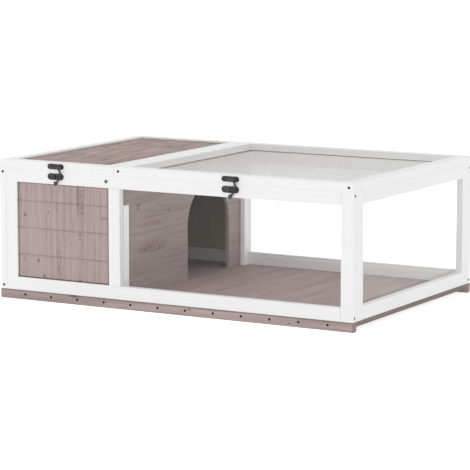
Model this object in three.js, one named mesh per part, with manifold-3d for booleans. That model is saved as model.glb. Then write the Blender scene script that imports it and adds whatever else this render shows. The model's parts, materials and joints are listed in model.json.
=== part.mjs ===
// Tortoise house: a closed shelter beside a glazed run, under two hinged lids.
// Lengths are in millimetres. X runs to the right, Y to the back and Z up.
// The origin is the middle of the house's box, on the surface that it stands on.

import * as THREE from 'three';
import { mergeVertices } from 'three/addons/utils/BufferGeometryUtils.js';
import Module from 'manifold-3d';

const wasm = await Module();
wasm.setup();

// Overall sizes
const house_length = 930;
const house_depth = 616;
const wall_height = 286;
// From the outside of the left wall to the middle of the partition
const shelter_length = 316.7;

// Room between pieces
const seat_gap = 0.3;
const cut_overrun = 5;

// Painted timber of the walls
const stock_thickness = 18;
const stile_width = 30;
const rail_width = 30.5;
const edge_ease = 0.4;

// Grooves that hold the boards, and rebates that hold the windows
const groove_depth = 8;
const groove_end_room = 0.7;
const groove_side_room = 0.3;

// Boarding of the shelter
const board_thickness = 8;
const board_setback = 5;
const board_pitch = 63.6;
const lowest_seam_height = 84.9;
const seam_depth = 1.6;
const seam_half_width = 2.1;

// Clear windows of the run, let in flush with the inside of the walls
const window_thickness = 2;
const window_setback = stock_thickness - window_thickness;

// Base under the walls
const batten_height = 22.4;
const batten_round = 4;
const floor_thickness = 10.5;
const floor_board_width = 72.7;
const first_floor_seam = 32.3;

// Partition with its doorway, and the strips that hold it
const divider_thickness = 8;
const divider_headroom = 2;
const divider_slot_room = 0.5;
const doorway_width = 198;
const doorway_spring_height = 125;
const doorway_from_back = 96;
const guide_width = 12;
const guide_depth = 20;
const guide_height = 215;

// Lids
const lid_height = 19;
const lid_rail_width = 30;
const lid_seam = 0.6;
const roof_thickness = 9;
const roof_setback = 4.5;

// Wire net of the run's lid
const net_thickness = 1.2;
const net_strand = 1.6;
const net_rebate_width = 12;
const net_rebate_room = 0.4;
const net_headroom = 0.8;
const net_columns = 16;
const net_rows = 16;

// Hinges
const hinge_length = 38;
const hinge_from_lid_end = 70;
const leaf_height = 13;
const leaf_thickness = 1.5;
const knuckle_radius = 3;
const knuckle_gap = 0.4;
const pin_radius = 1.4;
const pin_room = 0.25;
const pin_head_radius = 2.2;
const pin_head_height = 0.8;

// Latches
const latch_plate_length = 44.5;
const latch_plate_width = 12.5;
const keeper_length = 44;
const keeper_width = 15;
const keeper_drop = 12.7;
const plate_raise = 1;
const keeper_step = 1.1;
const keeper_step_offset = 1;
const latch_plate_thickness = 1.5;
const rivet_offset = 13;
const rivet_radius = 2;
const rivet_boss_radius = 5.5;
const rivet_head_radius = 4.2;
const rivet_head_height = 1.3;
const rivet_head_chamfer = 0.5;
const wire_diameter = 3.6;
const wire_room = 0.4;
const eye_room = 0.4;
const eye_opening = 120;
const curl_bore = 1.6;
const curl_offset = 10.8;
const hook_drop = 38.4;
// The tail's way from the eye to the curl, as shares of the curl's offset and of the hook's drop
const tail_shares = [
  [0.333, 0.068], [0.185, 0.139], [-0.037, 0.246], [-0.167, 0.368],
  [-0.27, 0.508], [-0.11, 0.664], [0.36, 0.798], [0.62, 0.9],
];

// Facets
const arch_facets = 20;
const round_facets = 16;
const plate_end_facets = 10;
const batten_round_facets = 4;
const wire_sides = 8;
const wire_steps = 44;
const eye_points = 8;
const curl_points = 6;

// Sizes that follow from the ones above
const wall_foot = batten_height + seat_gap;
const wall_top = wall_foot + wall_height;
const lid_foot = wall_top + seat_gap;
const lid_joint = (wall_top + lid_foot) / 2;
const wall_inside = stock_thickness + seat_gap;
const groove_engagement = groove_depth - groove_end_room;
const keeper_top = latch_plate_thickness + keeper_step;
const wire_back = keeper_top + wire_room;
const wire_front = wire_back + wire_diameter;
const rivet_head_seat = wire_front + seat_gap;
const rivet_top = rivet_head_seat + rivet_head_height;
const eye_radius = rivet_radius + eye_room + wire_diameter / 2;
const curl_radius = (curl_bore + wire_diameter) / 2;
const latch_reach = seat_gap + rivet_top;
const hinge_axis_from_wall = seat_gap + knuckle_radius;
const hinge_reach = hinge_axis_from_wall + knuckle_radius;

const finishes = {
  white_paint: { color: 0xeeeeec, roughness: 0.5, metalness: 0 },
  stained_boards: { color: 0xa39490, roughness: 0.75, metalness: 0 },
  stained_base: { color: 0x8c7c78, roughness: 0.8, metalness: 0 },
  clear_sheet: { color: 0xf4f8f8, roughness: 0.08, metalness: 0, transparent: true, opacity: 0.25 },
  grey_wire: { color: 0x9c9d9a, roughness: 0.5, metalness: 0.8 },
  black_metal: { color: 0x242424, roughness: 0.55, metalness: 0.4 },
};

const X = new THREE.Vector3(1, 0, 0);
const Y = new THREE.Vector3(0, 1, 0);
const Z = new THREE.Vector3(0, 0, 1);

// Turns that lay an outline's extrusion along X, along Y, or out of a front face
const along_x = new THREE.Matrix4().makeBasis(Y, Z, X);
const along_y = new THREE.Matrix4().makeBasis(Z, X, Y);
const out_of_front = new THREE.Matrix4().makeBasis(X, Z, Y.clone().negate());

function piece(name, geometry, finish, x = 0, y = 0, z = 0) {
  const mesh = new THREE.Mesh(geometry, new THREE.MeshStandardMaterial(finishes[finish]));
  mesh.name = name;
  mesh.position.set(x, y, z);
  return mesh;
}

function group(x, y, z, ...members) {
  const assembly = new THREE.Group();
  assembly.position.set(x, y, z);
  assembly.add(...members);
  return assembly;
}

// Solids for cutting and joining
function toSolid(geometry) {
  const bare = geometry.index ? geometry.clone() : geometry;
  bare.deleteAttribute('normal');
  bare.deleteAttribute('uv');
  const merged = mergeVertices(bare);
  return new wasm.Manifold(new wasm.Mesh({
    numProp: 3,
    vertProperties: new Float32Array(merged.attributes.position.array),
    triVerts: new Uint32Array(merged.index.array),
  }));
}

function toGeometry(solid) {
  const mesh = solid.getMesh();
  const geometry = new THREE.BufferGeometry();
  geometry.setAttribute('position', new THREE.BufferAttribute(new Float32Array(mesh.vertProperties), 3));
  geometry.setIndex(new THREE.BufferAttribute(new Uint32Array(mesh.triVerts), 1));
  const faceted = geometry.toNonIndexed();
  faceted.computeVertexNormals();
  return faceted;
}

function cut(body, ...tools) {
  return toGeometry(tools.reduce((solid, tool) => solid.subtract(toSolid(tool)), toSolid(body)));
}

function join(body, ...others) {
  return toGeometry(others.reduce((solid, other) => solid.add(toSolid(other)), toSolid(body)));
}

// A block between two corners
function block(low, high) {
  const [width, depth, height] = high.map((value, axis) => value - low[axis]);
  const geometry = new THREE.BoxGeometry(width, depth, height);
  return geometry.translate(low[0] + width / 2, low[1] + depth / 2, low[2] + height / 2);
}

function outline(points) {
  return new THREE.Shape(points.map(([x, y]) => new THREE.Vector2(x, y)));
}

function extrude(shape, length, facets = 1) {
  return new THREE.ExtrudeGeometry(shape, { depth: length, bevelEnabled: false, curveSegments: facets });
}

// A planed bar's section, with its four long edges eased
function easedSection(width, height) {
  const e = edge_ease;
  return outline([
    [e, 0], [width - e, 0], [width, e], [width, height - e],
    [width - e, height], [e, height], [0, height - e], [0, e],
  ]);
}

function barAlongX(length, depth, height) {
  return extrude(easedSection(depth, height), length).applyMatrix4(along_x);
}

function barAlongY(width, length, height) {
  return extrude(easedSection(height, width), length).applyMatrix4(along_y);
}

function barAlongZ(width, depth, length) {
  return extrude(easedSection(width, depth), length);
}

// Boarding in one sheet, with a V seam on its outer face between each two boards
function boarding(length, height, first_seam) {
  const face = [];
  for (let seam = first_seam; seam < height - seam_half_width; seam += board_pitch) {
    face.push([0, seam - seam_half_width], [seam_depth, seam], [0, seam + seam_half_width]);
  }
  const section = [[0, 0], ...face, [0, height], [board_thickness, height], [board_thickness, 0]];
  return extrude(outline(section.reverse()), length).applyMatrix4(along_x);
}

// What a wall's bay holds: its thickness, its setback from the wall's outer face and its sheet
const infills = {
  boards: {
    thickness: board_thickness,
    setback: board_setback,
    finish: 'stained_boards',
    sheet: (length, height, foot) => boarding(length, height, lowest_seam_height - foot),
  },
  window: {
    thickness: window_thickness,
    setback: window_setback,
    finish: 'clear_sheet',
    sheet: (length, height) => block([0, 0, 0], [length, window_thickness, height]),
  },
};

// The groove or rebate of one bay, as the one block that all its members lose
function bayPocket(bay) {
  const { thickness, setback } = infills[bay.infill];
  const foot = rail_width - groove_depth;
  const outside = setback - groove_side_room;
  const inside = setback + thickness + groove_side_room;
  return block(
    [bay.start - groove_depth, outside, foot],
    [bay.end + groove_depth, inside, wall_height - foot],
  );
}

function bayInfill(bay) {
  const { setback, finish, sheet } = infills[bay.infill];
  const start = bay.start - groove_engagement;
  const foot = rail_width - groove_engagement;
  const length = bay.end - bay.start + 2 * groove_engagement;
  const height = wall_height - 2 * foot;
  return piece(bay.name, sheet(length, height, foot), finish, start, setback, foot);
}

// A wall seen from outside, its outer face at y = 0 and its thickness towards +y.
// Stiles run full height, rails fit between them, and a post stands between the rails.
function wall(side, end_names, length, wall_bays) {
  const pockets = wall_bays.map(bayPocket);
  const last_stile = length - stile_width;
  const rail_length = length - 2 * (stile_width + seat_gap);
  const rail_start = stile_width + seat_gap;
  const stile = () => barAlongZ(stile_width, stock_thickness, wall_height);
  const rail = () => barAlongX(rail_length, stock_thickness, rail_width);

  // Each member is cut in its own place, then brought back to its own corner
  const fitted = (name, bar, x, z, tools) => {
    const grooved = cut(bar.translate(x, 0, z), ...tools).translate(-x, 0, -z);
    return piece(name, grooved, 'white_paint', x, 0, z);
  };

  const members = [
    fitted(`${side}_stile_${end_names[0]}`, stile(), 0, 0, pockets.slice(0, 1)),
    fitted(`${side}_stile_${end_names[1]}`, stile(), last_stile, 0, pockets.slice(-1)),
    fitted(`${side}_rail_bottom`, rail(), rail_start, 0, pockets),
    fitted(`${side}_rail_top`, rail(), rail_start, wall_height - rail_width, pockets),
    ...wall_bays.map(bayInfill),
  ];
  if (wall_bays.length > 1) {
    const post_length = wall_height - 2 * (rail_width + seat_gap);
    const post = barAlongZ(stile_width, stock_thickness, post_length);
    members.push(fitted(`${side}_post`, post, wall_bays[0].end, rail_width + seat_gap, pockets));
  }
  return members;
}

// Stands a wall on the base, its outer corner at x, y and turned about it
function place(members, x, y, turn) {
  const standing = group(x, y, wall_foot, ...members);
  standing.rotation.z = turn;
  return standing;
}

// A wall's bays between its stiles, with a post around each given middle
function bays(wall_length, sheets, post_middles) {
  const starts = [stile_width, ...post_middles.map((middle) => middle + stile_width / 2)];
  const ends = [...post_middles.map((middle) => middle - stile_width / 2), wall_length - stile_width];
  return sheets.map(([name, infill], i) => ({ name, infill, start: starts[i], end: ends[i] }));
}

// The long walls stop inside the left wall, and their posts stand on the partition's middle
const long_wall_length = house_length - wall_inside;

function frontWall() {
  const sheets = [['front_boards', 'boards'], ['front_window', 'window']];
  const front_bays = bays(long_wall_length, sheets, [shelter_length - wall_inside]);
  const members = wall('front', ['left', 'right'], long_wall_length, front_bays);
  return place(members, wall_inside, 0, 0);
}

function backWall() {
  const sheets = [['back_window', 'window'], ['back_boards', 'boards']];
  const back_bays = bays(long_wall_length, sheets, [house_length - shelter_length]);
  const members = wall('back', ['right', 'left'], long_wall_length, back_bays);
  return place(members, house_length, house_depth, Math.PI);
}

// The left wall covers the ends of the long walls
function leftWall() {
  const left_bays = bays(house_depth, [['left_boards', 'boards']], []);
  const members = wall('left', ['back', 'front'], house_depth, left_bays);
  return place(members, 0, house_depth, -Math.PI / 2);
}

// The right wall fits between the long walls
function rightWall() {
  const length = house_depth - 2 * wall_inside;
  const right_bays = bays(length, [['right_window', 'window']], []);
  const members = wall('right', ['front', 'back'], length, right_bays);
  return place(members, house_length, wall_inside, Math.PI / 2);
}

// Base: a batten under each long wall, rounded below, with the floor boards between them
function batten() {
  const back_round = stock_thickness - batten_round;
  const section = new THREE.Shape();
  section.moveTo(0, batten_height);
  section.lineTo(0, batten_round);
  section.absarc(batten_round, batten_round, batten_round, Math.PI, 1.5 * Math.PI, false);
  section.lineTo(back_round, 0);
  section.absarc(back_round, batten_round, batten_round, 1.5 * Math.PI, 2 * Math.PI, false);
  section.lineTo(stock_thickness, batten_height);
  section.closePath();
  return extrude(section, house_length, batten_round_facets).applyMatrix4(along_x);
}

function floorPanel() {
  const seams = [];
  for (let seam = first_floor_seam; seam < house_length - seam_half_width; seam += floor_board_width) {
    seams.push([floor_thickness, seam - seam_half_width]);
    seams.push([floor_thickness - seam_depth, seam]);
    seams.push([floor_thickness, seam + seam_half_width]);
  }
  const left_end = [[0, 0], [floor_thickness, 0]];
  const right_end = [[floor_thickness, house_length], [0, house_length]];
  const section = outline([...left_end, ...seams, ...right_end]);
  return extrude(section, house_depth - 2 * wall_inside).applyMatrix4(along_y);
}

function base() {
  const floor_foot = batten_height - floor_thickness;
  return group(0, 0, 0,
    piece('batten_front', batten(), 'stained_base'),
    piece('batten_back', batten(), 'stained_base', 0, house_depth - stock_thickness),
    piece('floor_panel', floorPanel(), 'stained_base', 0, wall_inside, floor_foot),
  );
}

// Partition board with an arched doorway down to the floor
function dividerBoard(width, height) {
  const radius = doorway_width / 2;
  const middle = house_depth - wall_inside - doorway_from_back - radius;
  const shape = new THREE.Shape();
  shape.moveTo(0, 0);
  shape.lineTo(middle - radius, 0);
  shape.lineTo(middle - radius, doorway_spring_height);
  shape.absarc(middle, doorway_spring_height, radius, Math.PI, 0, true);
  shape.lineTo(middle + radius, 0);
  shape.lineTo(width, 0);
  shape.lineTo(width, height);
  shape.lineTo(0, height);
  shape.closePath();
  return extrude(shape, divider_thickness, arch_facets).applyMatrix4(along_x);
}

function partition() {
  const width = house_depth - 2 * wall_inside;
  const height = wall_height - divider_headroom;
  const board_x = shelter_length - divider_thickness / 2;
  const board = dividerBoard(width, height);
  const parts = [piece('divider_panel', board, 'stained_boards', board_x, wall_inside, wall_foot)];
  const left_x = board_x - divider_slot_room - guide_width;
  const right_x = board_x + divider_thickness + divider_slot_room;
  const back_y = house_depth - wall_inside - guide_depth;
  for (const [end, y] of [['front', wall_inside], ['back', back_y]]) {
    for (const [side, x] of [['left', left_x], ['right', right_x]]) {
      const strip = barAlongZ(guide_width, guide_depth, guide_height);
      parts.push(piece(`guide_${end}_${side}`, strip, 'white_paint', x, y, wall_foot));
    }
  }
  return group(0, 0, 0, ...parts);
}

// A lid's frame, from its front left corner: the long rails cover the side rails' ends
function lidFrame(name, length, pocket) {
  const side_start = lid_rail_width + seat_gap;
  const side_length = house_depth - 2 * side_start;
  const rails = [
    ['front', barAlongX(length, lid_rail_width, lid_height), 0, 0],
    ['back', barAlongX(length, lid_rail_width, lid_height), 0, house_depth - lid_rail_width],
    ['left', barAlongY(lid_rail_width, side_length, lid_height), 0, side_start],
    ['right', barAlongY(lid_rail_width, side_length, lid_height), length - lid_rail_width, side_start],
  ];
  return rails.map(([side, bar, x, y]) => {
    const fitted = cut(bar.translate(x, y, 0), pocket).translate(-x, -y, 0);
    return piece(`${name}_rail_${side}`, fitted, 'white_paint', x, y, 0);
  });
}

// The space inside a lid's rails, grown by what its panel or net takes of them
function lidSpace(length, growth, low, high) {
  const edge = lid_rail_width - growth;
  return block([edge, edge, low], [length - edge, house_depth - edge, high]);
}

function roofLid(length) {
  const roof_top = lid_height - roof_setback;
  const roof_foot = roof_top - roof_thickness;
  const pocket = lidSpace(length, groove_depth, roof_foot - groove_side_room, roof_top + groove_side_room);
  const panel = lidSpace(length, groove_engagement, 0, roof_thickness);
  return [
    ...lidFrame('roof_lid', length, pocket),
    piece('roof_panel', panel, 'stained_boards', 0, 0, roof_foot),
  ];
}

// Low and high edges of the strands that cross a length
function strandEdges(length, gaps) {
  const pitch = (length - net_strand) / gaps;
  return Array.from({ length: gaps + 1 }, (_, i) => [i * pitch, i * pitch + net_strand]).flat();
}

// Flat net in one sheet: the cells between the strands' edges, less the gaps where both counts are odd
function net(width, depth) {
  const x = strandEdges(width, net_columns);
  const y = strandEdges(depth, net_rows);
  const inSheet = (i, j) => i >= 0 && j >= 0 && i < x.length - 1 && j < y.length - 1;
  const isStrand = (i, j) => inSheet(i, j) && (i % 2 === 0 || j % 2 === 0);
  const corners = [];
  const face = (a, b, c, d) => corners.push(a, b, c, a, c, d);

  const addCell = (i, j) => {
    const ring = [[x[i], y[j]], [x[i + 1], y[j]], [x[i + 1], y[j + 1]], [x[i], y[j + 1]]];
    const foot = ring.map(([u, v]) => new THREE.Vector3(u, v, 0));
    const top = ring.map(([u, v]) => new THREE.Vector3(u, v, net_thickness));
    face(top[0], top[1], top[2], top[3]);
    face(foot[3], foot[2], foot[1], foot[0]);
    [[i, j - 1], [i + 1, j], [i, j + 1], [i - 1, j]].forEach(([beside_i, beside_j], side) => {
      const next = (side + 1) % ring.length;
      if (!isStrand(beside_i, beside_j)) face(foot[side], foot[next], top[next], top[side]);
    });
  };

  for (let i = 0; i < x.length - 1; i += 1) {
    for (let j = 0; j < y.length - 1; j += 1) {
      if (isStrand(i, j)) addCell(i, j);
    }
  }
  const geometry = new THREE.BufferGeometry().setFromPoints(corners);
  geometry.computeVertexNormals();
  return geometry;
}

function netLid(length) {
  const rebate = lidSpace(length, net_rebate_width, -cut_overrun, net_thickness + net_headroom);
  const edge = lid_rail_width - net_rebate_width + net_rebate_room;
  const sheet = net(length - 2 * edge, house_depth - 2 * edge);
  return [...lidFrame('net_lid', length, rebate), piece('wire_net', sheet, 'grey_wire', edge, edge, 0)];
}

// Hinge parts, with the pin's axis along x through their origin and the wood towards -y
function rodAlongX(radius, length) {
  return new THREE.CylinderGeometry(radius, radius, length, round_facets).rotateZ(Math.PI / 2);
}

const knuckle_length = (hinge_length - 2 * knuckle_gap) / 3;
const outer_knuckle = knuckle_length + knuckle_gap;

// A leaf above the pin, with its knuckles rolled out of the plate
function hingeLeaf(knuckle_places) {
  const notch = knuckle_radius + knuckle_gap;
  const inner = -knuckle_radius;
  const outer = leaf_thickness - knuckle_radius;
  const half = hinge_length / 2;
  const plate = block([-half, inner, notch], [half, outer, leaf_height]);
  const rolled = knuckle_places.flatMap((x) => [
    block([x - knuckle_length / 2, inner, 0], [x + knuckle_length / 2, outer, notch + leaf_thickness]),
    rodAlongX(knuckle_radius, knuckle_length).translate(x, 0, 0),
  ]);
  return cut(join(plate, ...rolled), rodAlongX(pin_radius + pin_room, hinge_length + cut_overrun));
}

function hingePin() {
  const half = hinge_length / 2 + seat_gap;
  const head = half + pin_head_height;
  const profile = [[0, -head], [pin_head_radius, -head], [pin_head_radius, -half], [pin_radius, -half]];
  const mirrored = profile.map(([r, x]) => [r, -x]).reverse();
  const points = [...profile, ...mirrored].map(([r, x]) => new THREE.Vector2(r, x));
  return new THREE.LatheGeometry(points, round_facets).rotateZ(-Math.PI / 2);
}

function hinge(name, x) {
  const y = house_depth + hinge_axis_from_wall;
  const wall_leaf = hingeLeaf([-outer_knuckle, outer_knuckle]).rotateY(Math.PI);
  return group(x, y, lid_joint,
    piece(`${name}_wall_leaf`, wall_leaf, 'black_metal'),
    piece(`${name}_lid_leaf`, hingeLeaf([0]), 'black_metal'),
    piece(`${name}_pin`, hingePin(), 'black_metal'),
  );
}

// Latch parts, drawn on the front face around the latch's middle and standing out towards -y
function stadium(length, width) {
  const radius = width / 2;
  const middle = length / 2 - radius;
  const shape = new THREE.Shape();
  shape.moveTo(-middle, -radius);
  shape.lineTo(middle, -radius);
  shape.absarc(middle, 0, radius, -Math.PI / 2, Math.PI / 2, false);
  shape.lineTo(-middle, radius);
  shape.absarc(-middle, 0, radius, Math.PI / 2, 1.5 * Math.PI, false);
  return shape;
}

function platePiece(length, width, thickness) {
  return extrude(stadium(length, width), thickness, plate_end_facets).applyMatrix4(out_of_front);
}

// The lid's plate carries the rivet: a boss behind the hook's eye, a shank and a head
function latchPlate() {
  const rivet = [
    [0, 0],
    [rivet_boss_radius, 0],
    [rivet_boss_radius, wire_back - seat_gap],
    [rivet_radius, wire_back - seat_gap],
    [rivet_radius, rivet_head_seat],
    [rivet_head_radius, rivet_head_seat],
    [rivet_head_radius, rivet_top - rivet_head_chamfer],
    [rivet_head_radius - rivet_head_chamfer, rivet_top],
    [0, rivet_top],
  ].map(([r, height]) => new THREE.Vector2(r, height));
  const turned = new THREE.LatheGeometry(rivet, round_facets).rotateX(Math.PI).translate(rivet_offset, 0, 0);
  return join(platePiece(latch_plate_length, latch_plate_width, latch_plate_thickness), turned);
}

// The keeper's right side stands higher, and the hook's tail lies across it
function latchKeeper() {
  const left_side = block(
    [-keeper_length, -keeper_top - cut_overrun, -keeper_width],
    [-keeper_step_offset, cut_overrun, keeper_width],
  );
  const raised = cut(platePiece(keeper_length, keeper_width, keeper_top), left_side);
  return join(platePiece(keeper_length, keeper_width, latch_plate_thickness), raised);
}

// One bent wire in a plane: an open eye around the rivet, an S-shaped tail and a curled end.
// The curl stops short of the tail by the wire's own room.
function hookPath() {
  const closing = wire_diameter + wire_room;
  const eye_start = THREE.MathUtils.degToRad(eye_opening) - Math.PI;
  const curl_end = Math.acos(1 - closing / curl_radius) - 2 * Math.PI;
  const at = (x, z) => new THREE.Vector3(x, 0, z);
  const eye = Array.from({ length: eye_points }, (_, i) => {
    const angle = eye_start + ((Math.PI - eye_start) * i) / (eye_points - 1);
    return at(eye_radius * Math.cos(angle), eye_radius * Math.sin(angle));
  });
  const tail = tail_shares.map(([across, down]) => at(-across * curl_offset, -down * hook_drop));
  const curl = Array.from({ length: curl_points }, (_, i) => {
    const angle = (curl_end * i) / (curl_points - 1);
    return at(curl_radius * Math.cos(angle) - curl_offset, curl_radius * Math.sin(angle) - hook_drop);
  });
  return new THREE.CatmullRomCurve3([...eye, ...tail, ...curl]);
}

function latchHook() {
  const section = Array.from({ length: wire_sides }, (_, i) => {
    const angle = (2 * Math.PI * i) / wire_sides;
    return [(wire_diameter / 2) * Math.cos(angle), (wire_diameter / 2) * Math.sin(angle)];
  });
  const sweep = { steps: wire_steps, bevelEnabled: false, extrudePath: hookPath() };
  return new THREE.ExtrudeGeometry(outline(section), sweep);
}

function latch(name, x) {
  const plate_z = lid_height / 2 + seat_gap / 2 + plate_raise;
  return group(x, -seat_gap, lid_joint,
    piece(`${name}_plate`, latchPlate(), 'black_metal', 0, 0, plate_z),
    piece(`${name}_keeper`, latchKeeper(), 'black_metal', 0, 0, -keeper_drop),
    piece(`${name}_hook`, latchHook(), 'black_metal', rivet_offset, -wire_back - wire_diameter / 2, plate_z),
  );
}

// The two lids meet over the partition's middle, each with a latch in front and two hinges behind
function lids() {
  const roof_length = shelter_length - lid_seam / 2;
  const net_start = shelter_length + lid_seam / 2;
  const net_length = house_length - net_start;
  const lid = (name, start, length, parts) => [
    group(start, 0, lid_foot, ...parts),
    latch(`${name}_latch`, start + length / 2),
    hinge(`${name}_hinge_left`, start + hinge_from_lid_end),
    hinge(`${name}_hinge_right`, start + length - hinge_from_lid_end),
  ];
  return group(0, 0, 0,
    ...lid('roof', 0, roof_length, roofLid(roof_length)),
    ...lid('net', net_start, net_length, netLid(net_length)),
  );
}

// The house is drawn from its front left corner, then centred with its latches and hinges
const house = group(
  -house_length / 2, (latch_reach - house_depth - hinge_reach) / 2, 0,
  base(), frontWall(), backWall(), leftWall(), rightWall(), partition(), lids(),
);

export default house;
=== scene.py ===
# %% [markdown]
# # A wooden tortoise house, finished in Blender
# The house is a low box of painted timber: a boarded shelter on the left, a run with clear windows on
# the right, and a hinged lid over each. Its exact solids come from a CAD model. This lesson gives them
# paint, stain, grain and metal, and models the small things that a drawing leaves out: fine wire net,
# screws, nails and the rounded edges of the fittings.
#
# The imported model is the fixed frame. None of its parts is moved or reshaped. Every new piece is placed
# from the corners of a CAD node, and it rides on the body that carries it.

import json
import math
from functools import partial, reduce
from types import SimpleNamespace

import bpy
import numpy as np
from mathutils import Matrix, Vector
from mathutils.geometry import delaunay_2d_cdt

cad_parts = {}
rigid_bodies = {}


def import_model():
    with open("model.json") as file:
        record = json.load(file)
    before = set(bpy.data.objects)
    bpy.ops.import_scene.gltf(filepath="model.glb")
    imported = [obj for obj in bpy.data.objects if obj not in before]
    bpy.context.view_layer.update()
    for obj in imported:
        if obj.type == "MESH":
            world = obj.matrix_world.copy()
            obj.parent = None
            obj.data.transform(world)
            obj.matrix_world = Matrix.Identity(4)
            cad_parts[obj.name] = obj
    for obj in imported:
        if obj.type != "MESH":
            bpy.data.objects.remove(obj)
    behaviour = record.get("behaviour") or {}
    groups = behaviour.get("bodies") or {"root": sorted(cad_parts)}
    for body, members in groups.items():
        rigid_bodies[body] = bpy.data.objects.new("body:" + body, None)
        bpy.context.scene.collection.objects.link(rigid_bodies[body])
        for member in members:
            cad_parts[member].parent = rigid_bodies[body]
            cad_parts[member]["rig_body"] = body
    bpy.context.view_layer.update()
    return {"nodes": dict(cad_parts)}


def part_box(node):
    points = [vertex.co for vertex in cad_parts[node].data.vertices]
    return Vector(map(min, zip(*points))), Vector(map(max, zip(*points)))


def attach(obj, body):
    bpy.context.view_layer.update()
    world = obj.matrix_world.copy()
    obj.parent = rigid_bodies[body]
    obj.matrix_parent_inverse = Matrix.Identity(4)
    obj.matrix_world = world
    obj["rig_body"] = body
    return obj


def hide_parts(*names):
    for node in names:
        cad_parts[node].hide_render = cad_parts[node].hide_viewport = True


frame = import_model()
MM = 0.001

# %% [markdown]
# ## Camera
# The photograph was taken from the right and a little above, through a long lens. A camera can be moved
# by eye until it looks right. Here its place was worked out by least squares, from points of the house
# whose sizes are known.
# The camera isn't shifted, so any other view can reuse it.

# %% Camera
CAMERA_PLACE = (2.8703, -5.0373, 0.9976)
CAMERA_AZIMUTH, CAMERA_ELEVATION = 29.717, 8.383
CAMERA_LENS, CAMERA_SENSOR = 189.67, 36.0
CAMERA_CLIP = (0.1, 60.0)

scene = bpy.context.scene
camera_data = bpy.data.cameras.new("photo_camera")
camera_data.lens, camera_data.sensor_width = CAMERA_LENS, CAMERA_SENSOR
camera_data.clip_start, camera_data.clip_end = CAMERA_CLIP
camera = bpy.data.objects.new("photo_camera", camera_data)
camera.location = CAMERA_PLACE
camera.rotation_euler = (math.radians(90 - CAMERA_ELEVATION), 0, math.radians(CAMERA_AZIMUTH))
scene.collection.objects.link(camera)
scene.camera = camera
print("camera at", CAMERA_PLACE, "with a lens of", CAMERA_LENS, "mm")

# %% [markdown]
# ## Node helpers
# Materials here are built from nodes in code. One helper adds a node and feeds its inputs: a socket is
# linked, and a plain value is set. Sums are short words, such as plus and times, which find the node tree
# from the socket that they are given. Shared effects are node groups with named inputs and outputs, so
# each finish can use them with its own values.

# %% Node helpers
def feed(inputs, values):
    for name, value in values.items():
        socket = inputs[name]
        if isinstance(value, bpy.types.NodeSocket):
            socket.id_data.links.new(value, socket)
        else:
            socket.default_value = (*value, 1.0) if socket.type == "RGBA" else value


def node(tree, kind, inputs=None, **settings):
    made = tree.nodes.new("ShaderNode" + kind)
    for name, value in settings.items():
        setattr(made, name, value)
    feed(made.inputs, inputs or {})
    return made


def maths(operation, first, second=0.0):
    socket = first if isinstance(first, bpy.types.NodeSocket) else second
    return node(socket.id_data, "Math", {0: first, 1: second}, operation=operation).outputs[0]


SUMS = ("ADD", "SUBTRACT", "MULTIPLY", "DIVIDE", "MAXIMUM")
plus, minus, times, over, stronger = (partial(maths, word) for word in SUMS)


def vector_of(x, y, z):
    return node(x.id_data, "CombineXYZ", {"X": x, "Y": y, "Z": z}).outputs[0]


def noise(place, detail=2.0, roughness=0.5, scale=1.0):
    inputs = {"Vector": place, "Scale": scale, "Detail": detail, "Roughness": roughness}
    return node(place.id_data, "TexNoise", inputs).outputs["Fac"]


def between(value, low, high, to_low=0.0, to_high=1.0):
    """A smooth step: to_low where the value is low or less, to_high where it is high or more."""
    inputs = {"Value": value, "From Min": low, "From Max": high, "To Min": to_low, "To Max": to_high}
    return node(value.id_data, "MapRange", inputs, interpolation_type="SMOOTHSTEP").outputs["Result"]


def blend_colours(share, first, second):
    return node(share.id_data, "Mix", {0: share, 6: first, 7: second}, data_type="RGBA").outputs[2]


def new_group(name, outputs, **inputs):
    """A node group. The argument half_width=10 makes the input Half Width, and so on."""
    group = bpy.data.node_groups.new(name, "ShaderNodeTree")
    for word, value in inputs.items():
        label = word.replace("_", " ").title()
        group.interface.new_socket(label, in_out="INPUT", socket_type="NodeSocketFloat").default_value = value
    for label in outputs:
        group.interface.new_socket(label, in_out="OUTPUT", socket_type="NodeSocketFloat")
    entry, leaving = group.nodes.new("NodeGroupInput"), group.nodes.new("NodeGroupOutput")
    return group, SimpleNamespace(**dict(zip(inputs, entry.outputs))), leaving.inputs


def use_group(tree, group, *values):
    """Places a group, whose inputs get their values in the group's own order."""
    return node(tree, "Group", dict(enumerate(values)), node_tree=group).outputs


print("node helpers ready, with", len(SUMS), "sums")

# %% [markdown]
# ## Wood grain as one group
# Planed softwood shows soft light and dark streaks, much finer fibres, and a few short dark strokes. A
# picture of wood would be quick, but it repeats and has to be fitted to every board. Here all three are
# noise that is stretched along the grain. The group takes a point as its distances in mm along the grain,
# across it and into the wood, so it runs unbroken round a board's faces, whichever way the board lies.

# %% Wood grain group
WAVE_LENGTH, WAVE_WIDTH, BAND_SPREAD = 120, 60, 5
FIBRE_LENGTH, FIBRE_WIDTH = 30, 1.1
STROKE_LENGTH, STROKE_WIDTH = 22, 2.1

wood_grain, wood, wood_out = new_group(
    "wood_grain", ["Streaks", "Bands", "Fibres", "Strokes"],
    along=0, across=0, depth=0, offset=0, streak_width=5, streak_length=300, waviness=4,
)


def stretched(across, length, width):
    """A place in the wood, measured in grain lengths and grain widths."""
    far = plus(over(wood.along, length), wood.offset)
    return vector_of(far, over(across, width), over(wood.depth, width))


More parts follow.
